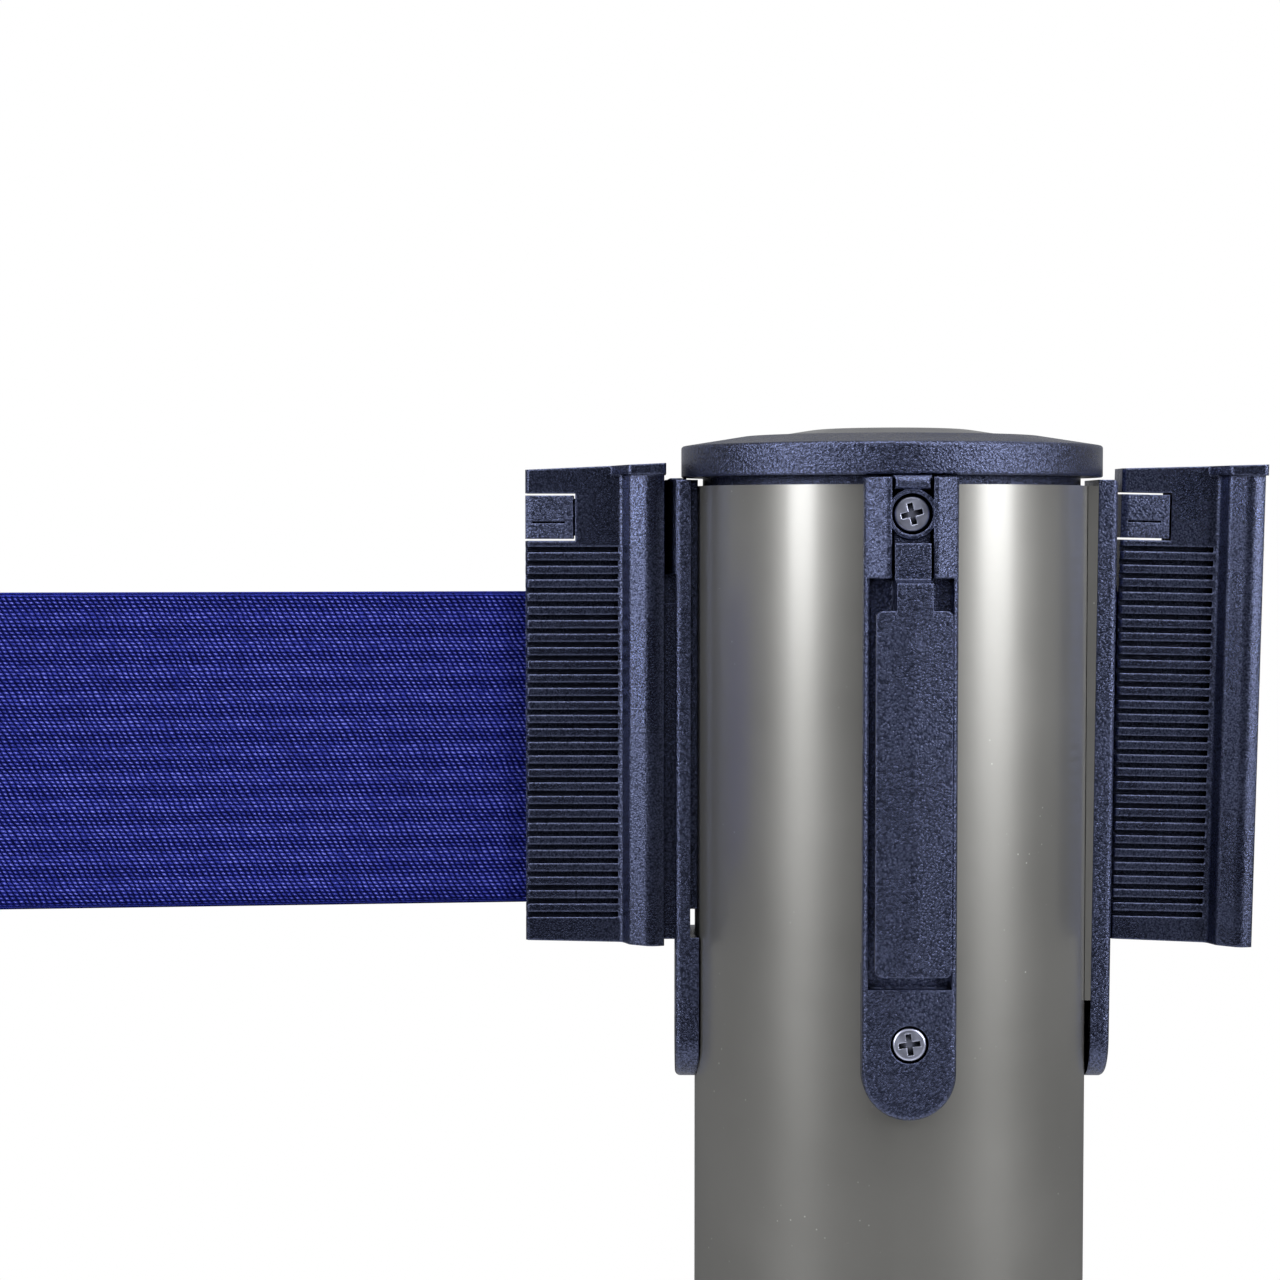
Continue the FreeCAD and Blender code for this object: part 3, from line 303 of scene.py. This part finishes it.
def webbing(belt_low, belt_high):
    """Blue polyester webbing: rows of slanted twill floats between two plain selvedges."""
    along_pitch = 0.93 * MM
    across_pitch = 0.6 * MM
    twill_step = 0.36
    slant = 0.5
    band_wide = 4.3 * MM
    selvedge_wide = 0.7 * MM
    selvedge_pitch = 0.4 * MM
    s = Shader("webbing")
    axes = s.add("ShaderNodeSeparateXYZ", {"Vector": s.place}).outputs
    wander = s.noise(240.0, 2.0, 0.5)
    along = s.math("MULTIPLY_ADD", axes["X"], 1.0 / along_pitch, s.math("MULTIPLY", wander, 1.1))
    across = s.math("MULTIPLY_ADD", axes["Z"], 1.0 / across_pitch, s.math("MULTIPLY", wander, 0.5))
    row = s.math("FLOOR", across)
    v = s.math("SUBTRACT", s.math("FRACT", across), 0.5)
    shifted = s.math("MULTIPLY_ADD", row, twill_step, along)
    u = s.math("SUBTRACT", s.math("FRACT", s.math("MULTIPLY_ADD", v, slant, shifted)), 0.5)
    # the rows change in bands between long floats and short dots, and no two stitches are alike
    band = s.math("FRACT", s.math("DIVIDE", axes["Z"], band_wide))
    dotted = s.span(s.math("ABSOLUTE", s.math("SUBTRACT", band, 0.5)), 0.2, 0.3)
    sharpness = s.math("MULTIPLY_ADD", dotted, 0.6, 1.1)
    stitch = s.add("ShaderNodeCombineXYZ", {"X": s.math("FLOOR", shifted), "Y": row}).outputs[0]
    chance = s.add("ShaderNodeTexWhiteNoise", {"Vector": stitch}, noise_dimensions="2D").outputs["Value"]
    float_height = s.math("POWER", s.math("MULTIPLY", s.hump(u), s.hump(v)), sharpness)
    float_height = s.math("MULTIPLY", float_height, s.span(chance, 0.0, 1.0, 0.84, 1.1))
    # selvedges: fine rows with no twill
    edge_wide = selvedge_wide * 0.7
    low_edge = s.span(axes["Z"], belt_low + edge_wide, belt_low + selvedge_wide, 1.0, 0.0)
    high_edge = s.span(axes["Z"], belt_high - selvedge_wide, belt_high - edge_wide)
    edge = s.math("MAXIMUM", low_edge, high_edge)
    fine_rows = s.math("SINE", s.math("MULTIPLY", axes["Z"], 2 * math.pi / selvedge_pitch))
    edge_height = s.span(fine_rows, -1.0, 1.0, 0.1, 0.5)
    heights = {0: edge, 2: float_height, 3: edge_height}
    height = s.add("ShaderNodeMix", heights, data_type="FLOAT").outputs[0]
    filament = s.noise(1.0, 2.0, 0.7, s.stretched(2600, 2600, 4200))
    patch = s.noise(160.0, 3.0, 0.6)
    bright = s.spread(patch, 0.92, 1.08)
    uneven = s.math("SUBTRACT", filament, 0.47)
    threads = s.math("MULTIPLY_ADD", uneven, 0.9, s.math("MULTIPLY", height, 0.95))
    # from painted shade in the gaps between the stitches, through the belt's own blue, to a painted
    # highlight on their crests
    shaded_gap_to_lit_crest_blues = ((0.08, (0.0006, 0.0014, 0.03)), (0.36, (0.006, 0.012, 0.17)), (0.74, (0.022, 0.032, 0.34)),
             (1.0, (0.17, 0.19, 0.75)))
    tone = s.ramp(s.math("MULTIPLY", threads, bright), shaded_gap_to_lit_crest_blues)
    normal = s.bump(filament, 0.03 * MM, s.bump(height, 0.22 * MM))
    return s.finish(Base_Color=tone, Roughness=s.span(height, 0.0, 1.0, 0.85, 0.5), Normal=normal,
                    Specular_IOR_Level=s.span(height, 0.1, 0.8, 0.04, 0.3))


def thread_material():
    """Stitching thread, a shade lighter than the belt."""
    s = Shader("stitching_thread")
    twist = s.noise(2600.0, 2.0)
    tone = s.blend(s.spread(twist), shade((0.02, 0.03, 0.2)), shade((0.05, 0.07, 0.34)))
    return s.finish(Base_Color=tone, Roughness=0.6, Normal=s.bump(twist, 0.04 * MM))


def floor_material():
    """A matt, pale studio floor."""
    s = Shader("studio_floor")
    mottle = s.noise(3.0, 3.0, 0.5)
    tone = s.blend(s.spread(mottle), shade((0.8, 0.8, 0.8)), shade((0.84, 0.84, 0.84)))
    return s.finish(Base_Color=tone, Roughness=0.7, Normal=s.bump(s.noise(300.0), 0.2 * MM),
                    Emission_Color=WHITE, Emission_Strength=0.12)


def make_materials():
    """Each slot of the record with its finished material."""
    belt_low, belt_high = (corner[2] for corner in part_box("incoming_belt"))
    black = (0.004, 0.0055, 0.014)
    return {
        "brushed_steel": brushed_steel(),
        "grained_plastic": plastic("grained_plastic", black, 0.36 * MM, 0.12 * MM, 0.25, 0.45 * MM),
        "shell_plastic": plastic("shell_plastic", black, 0.28 * MM, 0.055 * MM, 0.27, 0.5 * MM),
        "button_plastic": plastic("button_plastic", black, 0.34 * MM, 0.13 * MM, 0.25, 0.4 * MM),
        "cap_disc_plastic": smooth_plastic("cap_disc_plastic", (0.012, 0.014, 0.022), 0.16, 0.2 * MM),
        "cassette_plastic": smooth_plastic("cassette_plastic", (0.72, 0.72, 0.68), 0.4, 0.3 * MM),
        "screw_steel": metal("screw_steel", (0.72, 0.76, 0.98), 0.36, 1200.0, 0.25 * MM),
        "zinc_steel": metal("zinc_steel", (0.56, 0.57, 0.6), 0.3, 1500.0, 0.15 * MM),
        "spring_steel": metal("spring_steel", (0.22, 0.24, 0.3), 0.25, 2000.0, 0.05 * MM),
        "brass": metal("brass", (0.72, 0.52, 0.22), 0.25, 1800.0, 0.1 * MM),
        "cast_iron": painted_casting(),
        "rubber": rubber(),
        "belt_fabric": webbing(belt_low, belt_high),
    }


def dress_cad_nodes(materials):
    """Put the finished materials on the CAD's own pieces."""
    slots = {part["node"]: part["material_slot"] for part in frame["record"]["subparts"]}
    for name, node in NODES.items():
        node.data.materials.clear()
        node.data.materials.append(materials[slots[name]])


# ---------------------------------------------------------------- belts


def strip(name, line, low, high, half_thick, material, step_across=0.8 * MM):
    """A closed strip of webbing on edge along a line of (x, y) points, with rounded selvedges."""
    taper_wide = 0.6 * MM
    edge_share = 0.45
    mesh = bpy.data.meshes.new(name)
    shell = bmesh.new()
    rows = max(4, round((high - low) / step_across))
    profile = []
    for row in range(rows + 1):
        height = low + (high - low) * row / rows
        from_edge = min(height - low, high - height)
        taper = math.sqrt(min(1.0, from_edge / taper_wide))
        profile.append((height, half_thick * (edge_share + (1 - edge_share) * taper)))
    rings = []
    for index, point in enumerate(line):
        before = line[max(0, index - 1)]
        after = line[min(len(line) - 1, index + 1)]
        along = (Vector(after) - Vector(before)).normalized()
        across = Vector((-along.y, along.x))
        front = [shell.verts.new((*(Vector(point) - across * half), height)) for height, half in profile]
        back = [shell.verts.new((*(Vector(point) + across * half), height)) for height, half in profile]
        rings.append(front + back[::-1])
    for ring, following in zip(rings, rings[1:]):
        count = len(ring)
        for i in range(count):
            j = (i + 1) % count
            shell.faces.new((ring[i], ring[j], following[j], following[i]))
    for ring in (rings[0][::-1], rings[-1]):
        half_count = len(ring) // 2
        for i in range(half_count - 1):
            shell.faces.new((ring[i], ring[i + 1], ring[-2 - i], ring[-1 - i]))
    bmesh.ops.recalc_face_normals(shell, faces=shell.faces)
    shell.to_mesh(mesh)
    shell.free()
    mesh.materials.append(material)
    for polygon in mesh.polygons:
        polygon.use_smooth = True
    return add_object(name, mesh)


def build_incoming_belt(materials):
    """The neighbour's belt, pulled tight to the left with a barely slack face."""
    low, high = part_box("incoming_belt")
    inner = high[0]
    outer = low[0]
    # the belt lies in the post's middle plane inside the belt end, then leans to the front
    bend_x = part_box("incoming_front_shell")[0][0] + BEND_INSET
    drop = high[1] - low[1] - BELT_THICK
    steps = 130
    line = []
    for index in range(steps + 1):
        x = inner + (outer - inner) * index / steps
        y = 0.0
        if x < bend_x:
            along = (bend_x - x) / (bend_x - outer)
            y = -drop * along
        line.append((x, y))
    half = BELT_THICK / 2
    piece = strip("incoming_belt_webbing", line, low[2], high[2], half, materials["belt_fabric"])
    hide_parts("incoming_belt")
    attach(piece, "incoming_belt_end")


def build_hem_stitches():
    """Three rows of stitches that hold the turned-back end of the neighbour's belt."""
    low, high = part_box("incoming_belt_hem")
    rod_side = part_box("incoming_belt_rod")[1][0]
    # the belt leans to the front at a steady slope, and the stitches lie on its front face
    belt_low, belt_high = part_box("incoming_belt")
    bend_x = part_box("incoming_front_shell")[0][0] + BEND_INSET
    lean = (belt_high[1] - belt_low[1] - BELT_THICK) / (bend_x - belt_low[0])
    before_middle = 0.36 * MM
    pitch = 2.6 * MM
    first_up = 3 * MM
    margins = 4 * MM
    half_size = (0.224 * MM, 0.096 * MM, 0.9 * MM)
    mesh = bpy.data.meshes.new("hem_stitches")
    shell = bmesh.new()
    for share in (0.3, 0.5, 0.7):
        x = rod_side + (high[0] - rod_side) * share
        y = -lean * (bend_x - x) - before_middle
        for index in range(int((high[2] - low[2] - margins) / pitch)):
            z = low[2] + first_up + index * pitch
            ball = bmesh.ops.create_uvsphere(shell, u_segments=8, v_segments=6, radius=1.0)
            bmesh.ops.scale(shell, vec=half_size, verts=ball["verts"])
            bmesh.ops.translate(shell, vec=(x, y, z), verts=ball["verts"])
    shell.to_mesh(mesh)
    shell.free()
    mesh.materials.append(thread_material())
    piece = add_object("hem_stitches", mesh)
    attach(piece, "incoming_belt_end")


def build_belt_lead(materials):
    """The own belt from the roll round its guide to the belt end."""
    low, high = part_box("belt_lead")
    half = BELT_THICK / 2
    off_guide = 0.05 * MM
    guide_low, guide_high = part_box("belt_guide_front")
    guide = Vector(((guide_low[0] + guide_high[0]) / 2, (guide_low[1] + guide_high[1]) / 2))
    turn_r = (guide_high[0] - guide_low[0]) / 2 + off_guide + half
    start = Vector((low[0] + half, low[1] + half))
    to_guide = guide - start
    lead_angle = math.atan2(to_guide.y, to_guide.x) + math.asin(turn_r / to_guide.length)
    meets = guide + turn_r * Vector((-math.sin(lead_angle), math.cos(lead_angle)))
    lead_steps = 12
    turn_steps = 8
    # close steps across the straight stretch to the belt end
    drawn_steps = 160
    line = [tuple(start.lerp(meets, index / lead_steps)) for index in range(lead_steps)]
    for index in range(turn_steps + 1):
        angle = math.pi / 2 + lead_angle * (1 - index / turn_steps)
        line.append((guide.x + turn_r * math.cos(angle), guide.y + turn_r * math.sin(angle)))
    top = line[-1]
    for index in range(1, drawn_steps + 1):
        line.append((top[0] + (high[0] - top[0]) * index / drawn_steps, top[1]))
    piece = strip("own_belt_webbing", line, low[2], high[2], half, materials["belt_fabric"], 1.6 * MM)
    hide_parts("belt_lead")
    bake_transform(piece)


def build_button_spring(name, materials):
    """A lock button's folded spring, which moves with its belt end."""
    source = NODES[f"{name}_button_spring"]
    piece = add_object(f"{name}_folded_spring", source.data.copy())
    piece.matrix_world = source.matrix_world.copy()
    piece.data.materials.clear()
    piece.data.materials.append(materials["spring_steel"])
    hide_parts(f"{name}_button_spring")
    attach(piece, f"{name}_belt_end")
    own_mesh(piece)


# ---------------------------------------------------------------- studio


def add_area_light(name, place, target, size, power):
    """A soft rectangular light that is aimed at a point."""
    light = bpy.data.lights.new(name, "AREA")
    light.shape = "RECTANGLE"
    light.size, light.size_y = size
    light.energy = power
    item = add_object(name, light)
    item.location = place
    item.rotation_euler = (Vector(target) - Vector(place)).to_track_quat("-Z", "Y").to_euler()


def build_world():
    """White behind the object, which reflects a grey studio with a bright backdrop and a dark floor."""
    world = bpy.data.worlds.new("studio")
    bpy.context.scene.world = world
    world.use_nodes = True
    world.node_tree.nodes.clear()
    n = Nodes(world.node_tree)
    direction = n.add("ShaderNodeTexCoord").outputs["Generated"]
    axes = n.add("ShaderNodeSeparateXYZ", {"Vector": direction}).outputs
    # by height of the direction: straight down, just below and above the horizon, overhead
    greys = ((0.0, 0.03), (0.4, 0.04), (0.5, 0.17), (0.58, 0.17), (1.0, 0.08))
    stops = [(position, (grey, grey, grey)) for position, grey in greys]
    colour = n.ramp(n.span(axes["Z"], -1.0, 1.0), stops)
    strength = n.span(axes["Y"], -0.3, 0.6, 0.22, 2.6)
    studio = n.add("ShaderNodeBackground", {"Color": colour, "Strength": strength}).outputs[0]
    backdrop = n.add("ShaderNodeBackground", {"Color": WHITE}).outputs[0]
    seen = n.add("ShaderNodeLightPath").outputs["Is Camera Ray"]
    either = n.add("ShaderNodeMixShader", {0: seen, 1: studio, 2: backdrop}).outputs[0]
    n.add("ShaderNodeOutputWorld", {"Surface": either})


def build_lights(head):
    """Two tall soft boxes either side, a broad fill over the camera and a light overhead."""
    bearing = math.radians(57)
    distance = 1.7
    box_up = 0.68
    box_tall = 1.5
    aim = (head[0], head[1], head[2] + 0.5)
    for name, side, width, power in (("left_box", -1, 0.5, 22.0), ("right_box", 1, 0.65, 28.0)):
        place = (side * distance * math.sin(bearing), -distance * math.cos(bearing), head[2] + box_up)
        add_area_light(name, place, aim, (width, box_tall), power)
    add_area_light("front_fill", (-0.05, -1.25, head[2] + 0.75), head, (1.0, 0.6), 2.0)
    add_area_light("top_box", (0.1, -0.35, head[2] + 1.3), head, (1.6, 0.8), 18.0)


def build_floor():
    """A wide round floor under the base."""
    mesh = bpy.data.meshes.new("studio_floor")
    disc = bmesh.new()
    bmesh.ops.create_circle(disc, cap_ends=True, segments=128, radius=2.6)
    disc.to_mesh(mesh)
    disc.free()
    mesh.materials.append(floor_material())
    floor = add_object("studio_floor", mesh)


def build_camera(head):
    """A close view of the head from the front, a little left of the post and level with the cap."""
    camera = bpy.data.cameras.new("camera")
    camera.sensor_width = 36.0
    camera.lens = 76.05
    camera.clip_start = 0.01
    item = add_object("camera", camera)
    item.location = (-40.7 * MM, -440.0 * MM, head[2] - 14.2 * MM)
    item.rotation_euler = (math.radians(90 - 2.6), 0, 0)
    bpy.context.scene.camera = item


head_top = (0.0, 0.0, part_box("cap_disc")[1][2])
build_camera(head_top)
materials = make_materials()
dress_cad_nodes(materials)
build_incoming_belt(materials)
build_hem_stitches()
build_belt_lead(materials)
for belt_end in ("own", "incoming"):
    build_button_spring(belt_end, materials)
build_world()
build_lights(head_top)
build_floor()
bpy.context.scene.view_settings.view_transform = "Standard"
